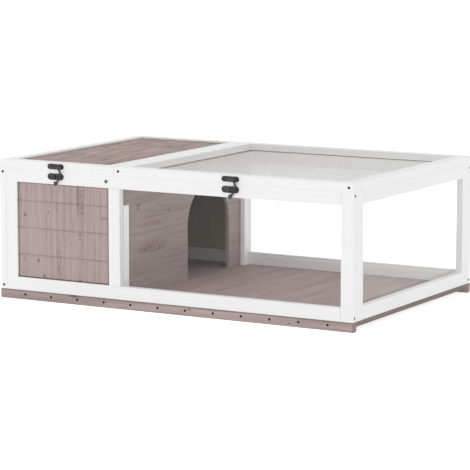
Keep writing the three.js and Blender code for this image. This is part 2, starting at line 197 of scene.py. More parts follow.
wave = minus(noise(stretched(wood.across, WAVE_LENGTH, WAVE_WIDTH)), 0.5)
bent = plus(wood.across, times(wave, wood.waviness))
streaks = noise(stretched(bent, wood.streak_length, wood.streak_width), 3.0, 0.6)
bands = noise(stretched(bent, wood.streak_length, times(wood.streak_width, BAND_SPREAD)), 1.0)
feed(wood_out, {
    "Streaks": between(streaks, 0.3, 0.7),
    "Bands": between(bands, 0.32, 0.68),
    "Fibres": noise(stretched(bent, FIBRE_LENGTH, FIBRE_WIDTH), 2.0, 0.6),
    "Strokes": between(noise(stretched(bent, STROKE_LENGTH, STROKE_WIDTH), 1.0), 0.64, 0.78),
})
print("wood_grain:", len(wood_grain.nodes), "nodes")

# %% [markdown]
# ## Knots
# A knot is a dark oval with a darker heart and a soft halo, and the grain flows round it. Spots painted
# on top would leave the grain straight behind them. So the group draws the three, and near the knot it
# also draws the distance across the grain in towards the knot's middle, so that grain which uses that
# distance bends around the knot. Its halo alone serves as a soft patch of shade.

# %% Knot group
KNOT_REACH, KNOT_PUSH = 2.6, 0.75

knot, asked, knot_out = new_group(
    "knot", ["Across", "Knot", "Heart", "Halo"],
    along=0, across=0, place_along=0, place_across=0, radius=3, stretch=1.5,
)
from_middle = minus(asked.across, asked.place_across)
cross_share = over(from_middle, asked.radius)
long_share = over(minus(asked.along, asked.place_along), times(asked.radius, asked.stretch))
distance = maths("SQRT", plus(times(cross_share, cross_share), times(long_share, long_share)))
push = between(distance, 0, KNOT_REACH, KNOT_PUSH, 0)
feed(knot_out, {
    "Across": minus(asked.across, times(from_middle, push)),
    "Knot": between(distance, 0.5, 1.15, 1, 0),
    "Heart": between(distance, 0.1, 0.75, 1, 0),
    "Halo": between(distance, 0.8, 2.4, 1, 0),
})
print("knot:", len(knot.nodes), "nodes")

# %% [markdown]
# ## Flame figure
# Where a board is cut close to the bark, the year rings make nested arches, called flame figure. A real
# cut through rings could be worked out, but nested parabolas look the same and are easy to place. The
# group draws them as ripples inside a window that fades at its edges, with gaps where noise says so.

# %% Flame group
ARCH_STEEPNESS, FULL_TURN = 0.16, 2 * math.pi
WANDER, WANDER_SCALE, PATCH_SCALE = 0.18, 0.09, 0.11

flame, asked, flame_out = new_group(
    "flame", ["Flame"],
    along=0, across=0, place_along=0, place_across=0, length=60, half_width=10, arches=7, patchiness=1,
)
up = over(minus(asked.along, asked.place_along), asked.length)
side = over(minus(asked.across, asked.place_across), asked.half_width)
place = vector_of(asked.along, asked.across, 0)
wander = times(minus(noise(place, scale=WANDER_SCALE), 0.5), WANDER)
arch = plus(plus(up, times(times(side, side), ARCH_STEEPNESS)), wander)
ripple = maths("SINE", times(times(arch, asked.arches), FULL_TURN))
gaps = between(noise(place, 1.0, scale=PATCH_SCALE), 0.35, 0.6, 1, 0)
kept = minus(1.0, times(gaps, asked.patchiness))
ends = times(between(up, 0, 0.25), between(up, 0.7, 1, 1, 0))
sides = between(maths("ABSOLUTE", side), 0.35, 1, 1, 0)
feed(flame_out, {"Flame": times(times(between(ripple, -0.5, 1), kept), times(ends, sides))})
print("flame:", len(flame.nodes), "nodes")

# %% [markdown]
# ## Dark lines of stain and painted shade
# Stain gathers in end grain. The seams between boards are darker partly by stain and partly as painted shade
# of the groove, and the lines where a board slips behind its frame, under a rail that overhangs and round a
# sunk board are painted shade. They could be thin dark meshes, but paint has no thickness to show.
# One small group answers instead how near a point is to such a straight line.

# %% Line group
line_mask, asked, line_out = new_group("line_mask", ["Mask"], place=0, line=0, core=1, fade=2)
beyond_core = over(minus(maths("ABSOLUTE", minus(asked.place, asked.line)), asked.core), asked.fade)
feed(line_out, {"Mask": between(beyond_core, 0, 1, 1, 0)})
print("line_mask:", len(line_mask.nodes), "nodes")

# %% [markdown]
# ## Helpers for a finish
# A finish is a Principled shader whose patterns have to stay on the wood when a lid opens. Unwrapped
# coordinates would do, but every board would have to be unwrapped. Object coordinates need none of that: a
# CAD part's points are measured from the house's zero, so they tell a point's place in the closed house.
# These small helpers start a finish, give a place in mm, raise a relief and dress a CAD part.

# %% Finish helpers
def new_finish(name):
    material = bpy.data.materials.new(name)
    material.use_nodes = True
    return material, material.node_tree, material.node_tree.nodes["Principled BSDF"].inputs


def object_place(tree):
    return node(tree, "TexCoord").outputs["Object"]


def places_in_mm(tree):
    in_mm = node(tree, "VectorMath", {0: object_place(tree), "Scale": 1 / MM}, operation="SCALE").outputs[0]
    return node(tree, "SeparateXYZ", {"Vector": in_mm}).outputs


def relief(height, distance, strength):
    inputs = {"Height": height, "Distance": distance, "Strength": strength}
    return node(height.id_data, "Bump", inputs).outputs["Normal"]


def dress(material, *names):
    """Gives CAD nodes their finish."""
    for name in names:
        slots = frame["nodes"][name].data.materials
        slots.clear()
        slots.append(material)


def middle_of(name):
    low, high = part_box(name)
    return (low + high) / 2


print("the front batten's middle:", [round(value, 4) for value in middle_of("batten_front")])

# %% [markdown]
# ## Stained softwood
# The shelter's boards, its roof, the partition and the base are softwood under a thin grey-brown stain.
# The wood shows through: pinkish and greyish streaks, darker strokes, soft patches, knots and a flame or
# two. One colour ramp would do for a distant board. Layers of stain, blended one over the other, keep
# each of these in its own place. The stain is matt, a little rougher where the wood is open.

# %% Stained wood
STAIN_LIGHT, STAIN_DARK = (0.475, 0.372, 0.362), (0.335, 0.255, 0.242)
STAIN_PINK, STAIN_PALE = (0.470, 0.368, 0.374), (0.520, 0.410, 0.400)
STAIN_STROKE, STAIN_KNOT = (0.190, 0.128, 0.117), (0.120, 0.062, 0.052)
STAIN_AND_SHADE_LINE, RAW_WOOD = (0.085, 0.060, 0.055), (0.470, 0.430, 0.370)
STAIN_MIDDLE = tuple((dark + light) / 2 for dark, light in zip(STAIN_DARK, STAIN_LIGHT))
STROKE_SHARE, FIBRE_SHARE, RAW_STREAK_SHARE, RAW_FADE = 0.5, 0.16, 0.2, 0.4
STAIN_ROUGHNESS = (0.62, 0.82)
KNOT_LAYERS = (("Halo", 0.22, STAIN_STROKE), ("Knot", 0.8, STAIN_KNOT), ("Heart", 0.3, STAIN_STROKE))
STAIN_RELIEF, STAIN_STREAK_RELIEF, STAIN_BUMP = 0.4 * MM, 0.5, 0.6


def stain(board, axes, offset, tone=(1, 1, 1), streak=5, grain_length=300, bands=0.6, contrast=1.0,
          knots=(), shades=(), flames=(), lines=(), raw_side=0):
    """Stains a board, whose axes run along the grain, across it and into the wood. In mm, knots are (along,
    across, radius, stretch), and shades are knots with a strength, which lighten below zero. Flames are
    (start, middle, length, half width, arches, patchiness, strength), and lines (the axis they cross, place,
    core, fade, strength). A raw side, 1 or -1, is bare wood from the board's middle on."""
    material, tree, shader = new_finish(f"stained_{board}")
    places = places_in_mm(tree)
    far, straight, deep = (places[axis] for axis in axes)
    cross, drawn_knots = straight, []
    for spot in knots:
        drawn_knots.append(use_group(tree, knot, far, cross, *spot))
        cross = drawn_knots[-1]["Across"]
    grain = use_group(tree, wood_grain, far, cross, deep, offset, streak, grain_length)

    def drawn(group, part, marks, *place):
        return [times(use_group(tree, group, *place, *mark)[part], share) for *mark, share in marks]

    def toned(colour, contrast=1.0):
        return tuple((m + (c - m) * contrast) * t for c, m, t in zip(colour, STAIN_MIDDLE, tone))

    layers = [
        (times(grain["Bands"], bands), STAIN_PINK),
        (times(grain["Strokes"], STROKE_SHARE), STAIN_STROKE),
        (between(grain["Fibres"], 0.35, 0.7, 0, FIBRE_SHARE), STAIN_STROKE),
    ]
    if shades:
        shade = reduce(plus, drawn(knot, "Halo", shades, far, straight))
        layers += [(shade, STAIN_STROKE), (times(shade, -1), STAIN_PALE)]
    if flames:
        layers.append((reduce(stronger, drawn(flame, "Flame", flames, far, straight)), STAIN_STROKE))
    for part, share, layer in KNOT_LAYERS if knots else ():
        layers.append((times(reduce(stronger, [spot[part] for spot in drawn_knots]), share), layer))
    # The dark lines: stain in end grain and seams, painted shade along frames, seams and overhangs.
    if lines:
        masks = [drawn(line_mask, "Mask", [line], places[axis])[0] for axis, *line in lines]
        layers.append((reduce(stronger, masks), STAIN_AND_SHADE_LINE))
    colour = blend_colours(grain["Streaks"], toned(STAIN_DARK, contrast), toned(STAIN_LIGHT, contrast))
    for share, layer in layers:
        colour = blend_colours(share, colour, toned(layer))
    if raw_side:
        beyond = times(minus(deep, middle_of(board)["XYZ".index(axes[2])] / MM), raw_side)
        raw = blend_colours(times(grain["Streaks"], RAW_STREAK_SHARE), RAW_WOOD, STAIN_DARK)
        colour = blend_colours(between(beyond, 0, RAW_FADE), colour, raw)
    feed(shader, {
        "Base Color": colour,
        "Roughness": between(grain["Fibres"], 0.3, 0.7, *STAIN_ROUGHNESS),
        "Normal": relief(
            plus(grain["Fibres"], times(grain["Streaks"], STAIN_STREAK_RELIEF)), STAIN_RELIEF, STAIN_BUMP
        ),
    })
    dress(material, board)
    print("stained", board, "with", len(knots), "knots and", len(flames), "flames")

# %% [markdown]
# ## The shelter's boards
# Each wall is cut from one sheet with a shallow seam at each board's height, and its grain stands upright,
# as on the photograph. The seams are a little darker than the boards, partly stain and partly painted shade
# of the groove, and painted shadow lines run where the sheet slips behind the frame. The knots of the front
# wall stand where the photograph shows them. Those of the other two are made up. Inside the shelter the
# wood is left raw.

# %% Wall boards
FIRST_SEAM, SEAM_PITCH, SEAM_COUNT = 107.6, 63.6, 3
# Seam lines: darker partly by stain, partly as painted shade of the groove.
SEAM_LINES = [("Z", FIRST_SEAM + SEAM_PITCH * i, 1.6, 3, 0.05) for i in range(SEAM_COUNT)]


def wall_lines(wall, left, right, axis):
    """The seams, darker by stain and painted shade, and lines of painted shadow where a wall's sheet slips
    behind the members round it.
    """
    left_edge, right_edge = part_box(f"{wall}_{left}")[1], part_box(f"{wall}_{right}")[0]
    return SEAM_LINES + [
        # Lines of painted shadow where the sheet slips behind the stiles, the post and the rails.
        (axis, left_edge["XYZ".index(axis)] / MM, 1.2, 1.4, 0.85),
        (axis, right_edge["XYZ".index(axis)] / MM, 4.4, 1.2, 0.9),
        ("Z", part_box(f"{wall}_rail_bottom")[1].z / MM, 1.8, 1.4, 0.95),
        ("Z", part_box(f"{wall}_rail_top")[0].z / MM, 1.0, 2.4, 0.8),
    ]


stain(
    "front_boards", "ZXY", 1.7, streak=4.2, contrast=1.1, raw_side=1,
    knots=[
        (201, -396.9, 3.5, 1.1), (211, -331.5, 1.7, 1.4), (95.4, -361.2, 3.3, 1.2), (96, -401, 1, 5),
        (163.9, -244.7, 2.2, 1.2), (154, -244.8, 1.3, 1.3), (60, -345.1, 3, 1.2), (56.6, -245.9, 2.6, 1.2),
        (206.5, -177, 9, 0.14), (74, -303, 0.8, 14),
    ],
    shades=[
        (252, -249.5, 2.6, 10, 0.6), (165, -381, 6, 22, -0.15), (224, -307, 2.4, 4, 0.3),
        (254, -323.2, 0.9, 12, 0.35), (208, -179, 4.5, 1.4, 0.2), (240, -276, 1, 14, 0.25),
        (120, -306, 2, 12, 0.14), (240, -177, 5, 8, -0.2),
    ],
    flames=[(190, -238, 112, 10, 9, 0.5, 0.85), (60, -304, 80, 8, 7, 1, 0.5)],
    lines=wall_lines("front", "stile_left", "post", "X"),
)
stain(
    "left_boards", "ZYX", 7.3, raw_side=1,
    knots=[
        (231, -212, 2.6, 1.3), (118, -147, 2.2, 1.4), (176, -38, 2.8, 1.3), (86, 61, 2.2, 1.6),
        (246, 143, 2, 1.4), (139, 222, 3, 1.2),
    ],
    flames=[(60, -92, 82, 14, 9, 0.6, 0.5), (190, 96, 70, 12, 8, 0.6, 0.6)],
    shades=[
        (150, -200, 5, 16, -0.4), (180, -70, 2.2, 12, 0.35), (110, 40, 4, 14, -0.3),
        (160, 180, 2.4, 12, 0.35),
    ],
    lines=wall_lines("left", "stile_front", "stile_back", "Y"),
)
stain(
    "back_boards", "ZXY", 4.1, raw_side=-1,
    knots=[(92, -402, 2.2, 1.4), (226, -318, 2.8, 1.3), (147, -268, 2, 1.4), (68, -196, 2.4, 1.5)],
    flames=[(150, -352, 80, 13, 9, 0.6, 0.6)],
    shades=[(170, -385, 2.2, 12, 0.35), (120, -290, 5, 18, -0.4), (200, -230, 2.4, 10, 0.35)],
    lines=wall_lines("back", "stile_left", "post", "X"),
)

# %% [markdown]
# ## Roof and partition
# The roof's board runs from front to back. It is darker towards its frame, a painted shade of the rails round
# the sunk board. It has the strongest figure of all, so its contrast is raised and its streaks are wide and
# short. The partition's grain lies flat, with a long flame beside the doorway. Their knots and flames follow
# the photograph where it shows them.

# %% Roof and partition
roof_low, roof_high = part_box("roof_lid_rail_left")[1].x / MM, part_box("roof_lid_rail_right")[0].x / MM
roof_front, roof_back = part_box("roof_lid_rail_front")[1].y / MM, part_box("roof_lid_rail_back")[0].y / MM
stain(
    "roof_panel", "YXZ", 2.9, (0.885, 0.845, 0.805), streak=13, grain_length=100, bands=0.3,
    contrast=1.7, raw_side=-1,
    knots=[
        (-94.8, -369.3, 5.2, 2.4), (-95.2, -404.1, 4.2, 2.4), (-157, -266, 4.6, 3.2), (65, -403.8, 4.4, 2.6),
        (143, -274, 4.6, 3), (203, -265, 4, 3), (177.3, -361.2, 3.6, 3.4), (-216, -212, 3.4, 2.6),
    ],
    shades=[
        (-138, -330, 7, 3, 0.25), (124, -277, 7, 6, 0.25), (-62, -362, 9, 3, -0.35), (68, -274, 12, 3, -0.35),
        (-10, -300, 14, 4, 0.12), (-180, -390, 10, 3, -0.25), (220, -380, 12, 4, 0.15),
        (-190, -215, 24, 4, 0.16), (-120, -205, 18, 6, 0.12), (-170, -385, 16, 4, 0.1),
    ],
    flames=[(-60, -300, 150, 18, 8, 0.8, 0.4), (120, -250, 140, 16, 7, 0.8, 0.4)],
    # Lines of painted shade round the sunk board, where the frame's rails shade it.
    lines=[
        ("X", roof_low, 3, 12, 0.4), ("X", roof_high, 2, 8, 0.3),
        ("Y", roof_front, 12, 30, 0.42), ("Y", roof_back, 8, 20, 0.4),
    ],
)
stain(
    "divider_panel", "YZX", 5.2, (1, 1.055, 1.045), streak=4.2, grain_length=200, bands=0.35, contrast=0.8,
    knots=[
        (-206.6, 229.3, 2.9, 2.3), (-208.5, 221.7, 2.9, 2.3), (-71.9, 202.3, 2.8, 1.7), (182, 96, 2.6, 1.4),
        (248, 250, 2.8, 1.4), (-117.4, 178.8, 1.8, 2.6),
    ],
    shades=[
        (-86.3, 215, 1.5, 7, 0.4), (-154, 196, 1.4, 14, 0.4), (-158, 178.4, 3, 10, 0.25),
        (-150, 128, 7, 6, 0.2), (-100, 90, 16, 8, 0.16),
    ],
    flames=[(-226, 121, 170, 13, 8, 0.3, 0.85), (140, 190, 130, 13, 7, 0.6, 0.5)],
)

# %% [markdown]
# ## Base
# The floor boards run from front to back, and the two battens under the house run across them. The upper
# edge of each batten is darker, painted shade under the wall. The battens' ends show end grain, which drinks
# more stain, the floor's side edges are darkened as painted shade, and the front batten darkens towards
# its left end.

# %% Floor and battens
HOUSE_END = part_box("floor_panel")[1].x / MM
BATTEN_TONE = (1.05, 1.06, 1.05)
# Painted shade along each batten's top edge, under the wall.
SHADE_UNDER_WALL = [("Z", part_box("batten_front")[1].z / MM, 1.6, 3.6, 0.5)]
DAMP_END = [("X", -420, 80, 300, 0.24)]
# End grain of the battens drinks more stain; the floor's side edges get painted shade.
END_GRAIN, SHADED_FLOOR_EDGES = (
    [("X", side * HOUSE_END, 0.6, 1.2, strength) for side in (-1, 1)] for strength in (0.42, 0.55)
)
stain("floor_panel", "YXZ", 9.6, (0.94, 0.93, 0.92), streak=7, lines=SHADED_FLOOR_EDGES)
stain(
    "batten_front", "XZY", 3.3, BATTEN_TONE, streak=4, lines=SHADE_UNDER_WALL + DAMP_END + END_GRAIN,
    knots=[(-392, 11.5, 1, 4), (-260, 20.5, 3.2, 4), (-118, 7, 1.6, 2), (52, 16, 1.8, 2.4), (307, 8, 1.6, 2)],
)
stain(
    "batten_back", "XZY", 6.4, BATTEN_TONE, streak=4, lines=SHADE_UNDER_WALL + END_GRAIN,
    knots=[(-301, 9, 1.8, 2.4), (-96, 17, 1.6, 2), (188, 11, 2.2, 2.2), (391, 15, 1.8, 2)],
)

# %% [markdown]
# ## White paint on timber
# The frames are planed timber under a smooth white paint. Close by, the grain still stands out a little
# through the film, and the sheen changes slightly over it. A plain white would look like plastic, so the
# grain group drives a very low relief, a small change of tone and the roughness. The grain follows each
# member's length, which its box in the frame tells. The strips that hold the partition stand in the
# shade of the run and still look bright, so painted light raises their white.

# %% White paint
PAINT_LIGHT, PAINT_SHADED, STRIPS_PAINTED_LIGHT = (0.868, 0.870, 0.868), (0.845, 0.847, 0.845), 0.11
PAINT_STREAK, PAINT_ROUGHNESS = 4.5, (0.42, 0.54)
PAINT_RELIEF, PAINT_STREAK_RELIEF, PAINT_BUMP = 0.2 * MM, 0.7, 0.35
WHITE_MEMBERS = ("_stile_", "_rail_", "_post", "guide_")


def painted_timber(name, axes, offset, painted_light=0.0):
    material, tree, shader = new_finish(f"white_paint_{name}")
    places = places_in_mm(tree)
    grain = use_group(tree, wood_grain, *(places[axis] for axis in axes), offset, PAINT_STREAK)
    # painted_light raises the white, as painted light for members that stand in shade.
    shaded, light = (tuple(channel + painted_light for channel in colour) for colour in (PAINT_SHADED, PAINT_LIGHT))
    feed(shader, {
        "Base Color": blend_colours(grain["Streaks"], shaded, light),
        "Roughness": between(grain["Bands"], 0, 1, *PAINT_ROUGHNESS),
        "Normal": relief(
            plus(grain["Fibres"], times(grain["Streaks"], PAINT_STREAK_RELIEF)), PAINT_RELIEF, PAINT_BUMP
        ),
    })
    return material


paints = [
    painted_timber("across", "XZY", 0.6),
    painted_timber("front_to_back", "YZX", 2.2),
    painted_timber("upright", "ZXY", 4.4),
]
painted = [name for name in frame["nodes"] if any(word in name for word in WHITE_MEMBERS)]
for name in painted:
    low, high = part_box(name)
    sizes = list(high - low)
    dress(paints[sizes.index(max(sizes))], name)
strips = [name for name in painted if "guide_" in name]
# The strips get painted light: their white is raised against the run's shade.
dress(painted_timber("strips", "ZXY", 1.3, STRIPS_PAINTED_LIGHT), *strips)
print("painted members:", len(painted), "of them whiter strips:", len(strips))

# %% [markdown]
# ## Painted shadow round the net
# A thin dark line runs round the opening of the net's lid, where the net meets the rails and the gap lies
# in shade. It is painted shadow. It could be a thin tube of its own, but it is painted on the timber. So the
# four rails of that lid get a paint of their own, which turns black low down and close to the opening.

# %% Painted shadow round the net
NET_GAP_SHADOW, NET_SHADOW_HEIGHT, NET_SHADOW_WIDTH = (0.012, 0.012, 0.011), 2.8, 3.5


def add_painted_shadow(material):
    tree = material.node_tree
    places, colour = places_in_mm(tree), tree.nodes["Principled BSDF"].inputs["Base Color"]
    net_shadow = maths("LESS_THAN", places["Z"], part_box("wire_net")[0].z / MM + NET_SHADOW_HEIGHT)
    for axis, (first, second) in enumerate((("left", "right"), ("front", "back"))):
        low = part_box(f"net_lid_rail_{first}")[1][axis] / MM
        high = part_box(f"net_lid_rail_{second}")[0][axis] / MM
        off_middle = maths("ABSOLUTE", minus(places[axis], (low + high) / 2))
        net_shadow = times(net_shadow, maths("LESS_THAN", off_middle, (high - low) / 2 + NET_SHADOW_WIDTH))
    # The rails turn black low down near the opening, as painted shadow of the gap over the net.
    tree.links.new(blend_colours(net_shadow, colour.links[0].from_socket, NET_GAP_SHADOW), colour)


for axes, first, second, offset in (("XZY", "front", "back", 0.6), ("YZX", "left", "right", 2.2)):
    rebated = painted_timber(f"net_lid_{first}_and_{second}", axes, offset)
    add_painted_shadow(rebated)
    dress(rebated, f"net_lid_rail_{first}", f"net_lid_rail_{second}")
print("bead:", NET_SHADOW_HEIGHT, "mm high round the net")

# %% [markdown]
# ## Seats of the lids
# Real lids lie on the walls, and from outside only a hair line shows between them. The solids keep a
# gap of 0.3 mm there, which would read as a dark seam. A CAD node is never reshaped, so each rail of the
# lids gets a copy that stands for it, and the copy's foot is lowered by most of that gap.

# %% Lid seats
SEAT_DROP, FOOT_HEIGHT = 0.22 * MM, 0.1 * MM


def worked_copy(name):
    """A copy of a painted member that can be worked on, and that stands for it."""
    member = frame["nodes"][name]
    copied = bpy.data.objects.new(f"{name}_worked", member.data.copy())
    scene.collection.objects.link(copied)
    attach(copied, member["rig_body"])
    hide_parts(name)
    return copied


lid_rails = [name for name in painted if "_lid_rail_" in name]
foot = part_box(lid_rails[0])[0].z
for name in lid_rails:
    for corner in worked_copy(name).data.vertices:
        if corner.co.z < foot + FOOT_HEIGHT:
            corner.co.z -= SEAT_DROP
print("rails lowered onto the walls:", len(lid_rails))

# %% [markdown]
# ## Clear windows
# The run's windows are thin clear plastic sheets, let in from the inside. Glass in Cycles stops lamp
# light, which would leave the run dark behind it. So the sheet is glass to the camera and to mirrored
# light, and simply open to shadow and diffuse light, which is what a thin flat sheet does. Its low index
# keeps the mirror faint, as on the photograph, where the sheets can hardly be seen.

# %% Clear sheet
SHEET = {"Base Color": (0.996, 1.0, 0.998), "Transmission Weight": 1.0, "IOR": 1.18, "Roughness": 0.01}

clear_sheet, sheet_tree, sheet_shader = new_finish("clear_plastic_sheet")
feed(sheet_shader, SHEET)
ray = node(sheet_tree, "LightPath").outputs
opened = node(sheet_tree, "MixShader", {
    0: stronger(ray["Is Shadow Ray"], ray["Is Diffuse Ray"]),
    1: sheet_tree.nodes["Principled BSDF"].outputs[0],
    2: node(sheet_tree, "BsdfTransparent").outputs[0],
})
feed(sheet_tree.nodes["Material Output"].inputs, {"Surface": opened.outputs[0]})
windows = [name for name in frame["nodes"] if name.endswith("_window")]
dress(clear_sheet, *windows)
print("windows:", windows)

# %% [markdown]
# ## Metal finishes
# The latches and hinges are black coated steel, the screws dark plain steel, the nails weathered, the cap
# light grey and the net zinc. Coated steel is never evenly black: the coat has a fine skin, and it is
# rubbed paler on edges that hands touch. Edges could be found by a bevel or pointiness node, which the
# export can't read. The mesh code marks them in a point attribute instead, and the finish reads it.

# %% Metal finishes
metal_skin, asked, skin_out = new_group(
    "metal_skin", ["Grain", "Clouds"], grain_size=0.6 * MM, cloud_size=12 * MM,
)
skin_place = object_place(metal_skin)
feed(skin_out, {
    part: noise(skin_place, 2.0, 0.55, over(1.0, size))
    for part, size in (("Grain", asked.grain_size), ("Clouds", asked.cloud_size))
})
CLOUD_LIGHT, SMOOTHER, ROUGHER, RUBBED_SHARES, SKIN_BUMP = 1.35, 0.06, 0.08, (0.15, 0.7), 0.5


def metal(name, base, worn, roughness, metallic, specular, skin_relief):
    """A metal finish. The relief of its skin is in mm."""
    material, tree, shader = new_finish(name)
    skin = use_group(tree, metal_skin)
    edge = node(tree, "Attribute", attribute_name="worn_edge").outputs["Fac"]
    rubbed = times(edge, between(skin["Clouds"], 0.35, 0.65, *RUBBED_SHARES))
    clouded = blend_colours(skin["Clouds"], base, tuple(channel * CLOUD_LIGHT for channel in base))
    feed(shader, {
        "Base Color": blend_colours(rubbed, clouded, worn),
        "Metallic": metallic,
        "Specular IOR Level": specular,
        "Roughness": between(skin["Clouds"], 0.3, 0.7, roughness - SMOOTHER, roughness + ROUGHER),
        "Normal": relief(skin["Grain"], skin_relief * MM, SKIN_BUMP),
    })
    return material


black_metal = metal("black_coated_steel", (0.0125, 0.0125, 0.013), (0.10, 0.10, 0.10), 0.48, 0.0, 0.32, 0.08)
screw_steel = metal("dark_screw_steel", (0.014, 0.014, 0.015), (0.08, 0.08, 0.08), 0.45, 0.1, 0.3, 0.05)
nail_steel = metal("weathered_nail_steel", (0.009, 0.006, 0.005), (0.03, 0.02, 0.018), 0.75, 0.0, 0.2, 0.1)
cap_metal = metal("grey_cap_metal", (0.10, 0.11, 0.11), (0.25, 0.26, 0.26), 0.45, 0.2, 0.5, 0.05)
zinc_wire = metal("zinc_wire", (0.665, 0.67, 0.665), (0.8, 0.8, 0.8), 0.5, 0.25, 0.5, 0.04)
# Near black: painted shade for the floor of the keepers' slots.
painted_shade_gap = metal("painted_shade_gap", (0.002, 0.002, 0.002), (0.002, 0.002, 0.002), 0.9, 0.0, 0.05, 0.05)
print("metal_skin:", len(metal_skin.nodes), "nodes, shared by all metals")

# %% [markdown]
# ## Arcs and faces of the house
# The small fittings stand on the front, the back and the right side of the house. Each could be drawn
# flat and then turned into its place, but then its mesh wouldn't say where its points are. Instead, a face
# says which way is out, right and up, and an outline drawn flat lands on it with one sum. Outlines are made
# of arcs, which are given by their radius, their number of points and their turn.

# %% Arcs and faces
def arc(radius, count, start, sweep):
    """Points on an arc, its two ends among them."""
    turns = [start + sweep * i / (count - 1) for i in range(count)]
    return [(radius * math.cos(turn), radius * math.sin(turn)) for turn in turns]


def circle(radius, count, start=0.0):
    return arc(radius, count + 1, start, FULL_TURN)[:-1]


class Face:
    """A flat face of the house that small parts stand on: which way is out, right and up."""

    def __init__(self, out, right):
        self.out, self.right = Vector(out), Vector(right)
        self.up = self.out.cross(self.right)

    def place(self, origin, flat_points, height):
        return [Vector(origin) + self.right * u + self.up * v + self.out * height for u, v in flat_points]


FRONT, BACK, RIGHT = Face((0, -1, 0), (1, 0, 0)), Face((0, 1, 0), (-1, 0, 0)), Face((1, 0, 0), (0, 1, 0))
print("faces that carry small parts: out", [tuple(face.out) for face in (FRONT, BACK, RIGHT)])

# %% [markdown]
# ## Mesh helpers
# Most small parts are built up from closed rings of points: a plate is an outline that shrinks a little
# as it rises, a screw head is a circle that does the same, and a wire is a circle that travels along a
# path. Bevelled cylinders would be quicker to add, but they give no say over where points lie. One helper
# joins rings with four-sided faces and closes both ends, and it keeps count of the points and faces, so
# that many screws can share one object.

# %% Mesh helpers
class Mould:
    """Collects points, faces and worn edges of one piece."""

    def __init__(self):
        self.points, self.faces, self.worn = [], [], []

    def add_points(self, points, worn=0.0):
        first = len(self.points)
        self.points.extend(tuple(point) for point in points)
        self.worn.extend([worn] * len(points))
        return list(range(first, len(self.points)))

    def join(self, lower, upper):
        self.faces.extend(zip(lower, lower[1:] + lower[:1], upper[1:] + upper[:1], upper))

    def loft(self, rings, worn=None, close_top=True):
        """Joins rings of equal count. A ring runs round its middle as seen from the last ring's side."""
        rows = [self.add_points(ring, mark) for ring, mark in zip(rings, worn or [0.0] * len(rings))]
        for lower, upper in zip(rows, rows[1:]):
            self.join(lower, upper)
        self.faces.append(tuple(reversed(rows[0])))
        if close_top:
            self.faces.append(tuple(rows[-1]))
        return rows

    def rise(self, face, origin, steps, close_top=True):
        """Lofts outlines that rise from a face. A step is an outline, its height and its wear."""
        rings = [face.place(origin, outline, height) for outline, height, _ in steps]
        return self.loft(rings, [worn for *_, worn in steps], close_top)

    def turn(self, face, origin, profile, sides, radius=MM, height=MM, close_top=True):
        """Turns a profile of radius, height and wear, which is in mm unless a radius and height scale it."""
        steps = [(circle(radius * r, sides), height * h, worn) for r, h, worn in profile]
        return self.rise(face, origin, steps, close_top)

    def piece(self, name, material, body, stands_for=None, slot="black_metal", smooth_angle=40):
        mesh = bpy.data.meshes.new(name)
        mesh.from_pydata(self.points, [], self.faces)
        mesh.attributes.new("worn_edge", "FLOAT", "POINT").data.foreach_set("value", self.worn)
        mesh.materials.append(material)
        mesh.update()
        mesh.shade_smooth()
        mesh.set_sharp_from_angle(angle=math.radians(smooth_angle))
        made = bpy.data.objects.new(name, mesh)
        scene.collection.objects.link(made)
        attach(made, body)
        if stands_for:
            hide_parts(stands_for)
        return made


print("a mould is ready, which keeps count of points, faces and worn edges")

# %% [markdown]
# ## Screw heads
# The timber is joined with dark cross-head screws. Each head is a low dome with a real cross recess: the
# dome's rim is a circle, its crown carries a cross-shaped hole, and the hole has walls and a floor. A
# Boolean could cut the cross, but its faces are hard to foresee. Blender's Delaunay tool fills the flat
# ring between a circle and a cross, and it needs only the two outlines.

# %% Screw heads
HEAD_SIDES, WELD_DISTANCE = 28, 1e-9
CROWN_SHARE, CROSS_REACH, CROSS_HALF, CROSS_FLOOR, CROSS_WEAR = 0.8, 0.62, 0.17, 0.35, 0.4
DOME_PROFILE = [(1.0, 0.0, 0.0), (1.0, 0.45, 0.0), (0.95, 0.75, 0.6), (CROWN_SHARE, 1.0, 0.8)]
QUARTER_TURNS = ((1, 0), (0, 1), (-1, 0), (0, -1))


def screw_head(mould, face, origin, radius, height):
    """A domed head with a cross recess, standing on a face at origin."""
    reach, half = radius * CROSS_REACH, radius * CROSS_HALF
    rows = mould.turn(face, origin, DOME_PROFILE, HEAD_SIDES, radius, height, close_top=False)
    arm = [(half, half), (half, reach), (-half, reach)]
    cross = [(x * cos - y * sin, x * sin + y * cos) for cos, sin in QUARTER_TURNS for x, y in arm]
    ids = rows[-1] + mould.add_points(face.place(origin, cross, height), CROSS_WEAR)
    loops = list(range(HEAD_SIDES)), list(range(HEAD_SIDES, len(ids)))
    edges = [edge for loop in loops for edge in zip(loop, loop[1:] + loop[:1])]
    flat = [Vector(point) for point in circle(radius * CROWN_SHARE, HEAD_SIDES) + cross]
    points, _, triangles, *_ = delaunay_2d_cdt(flat, edges, [], 1, WELD_DISTANCE)
    for triangle in triangles:
        short, long = sorted(abs(sum(points[i][axis] for i in triangle)) / 3 for axis in (0, 1))
        if short > half or long > reach:
            mould.faces.append(tuple(ids[i] for i in triangle))
    floor = mould.add_points(face.place(origin, cross, height * CROSS_FLOOR))
    mould.join(ids[HEAD_SIDES:], floor)
    mould.faces.append(tuple(floor))


print("screw head:", HEAD_SIDES, "sides, and a cross that reaches over", CROSS_REACH, "of its radius")

# %% [markdown]
# ## Screws in their places
# Screws stand near both ends of the corner stiles, and of the net lid's front and back rails. The ones on
# the right side are driven home, so that nothing sticks out past the timber there. Their holes could be
# dark discs, but real ones catch the light. A Boolean modifier cuts them into a copy of each stile that
# stands for it, and its cutter reaches out past the timber, so that no skin is left over a hole.

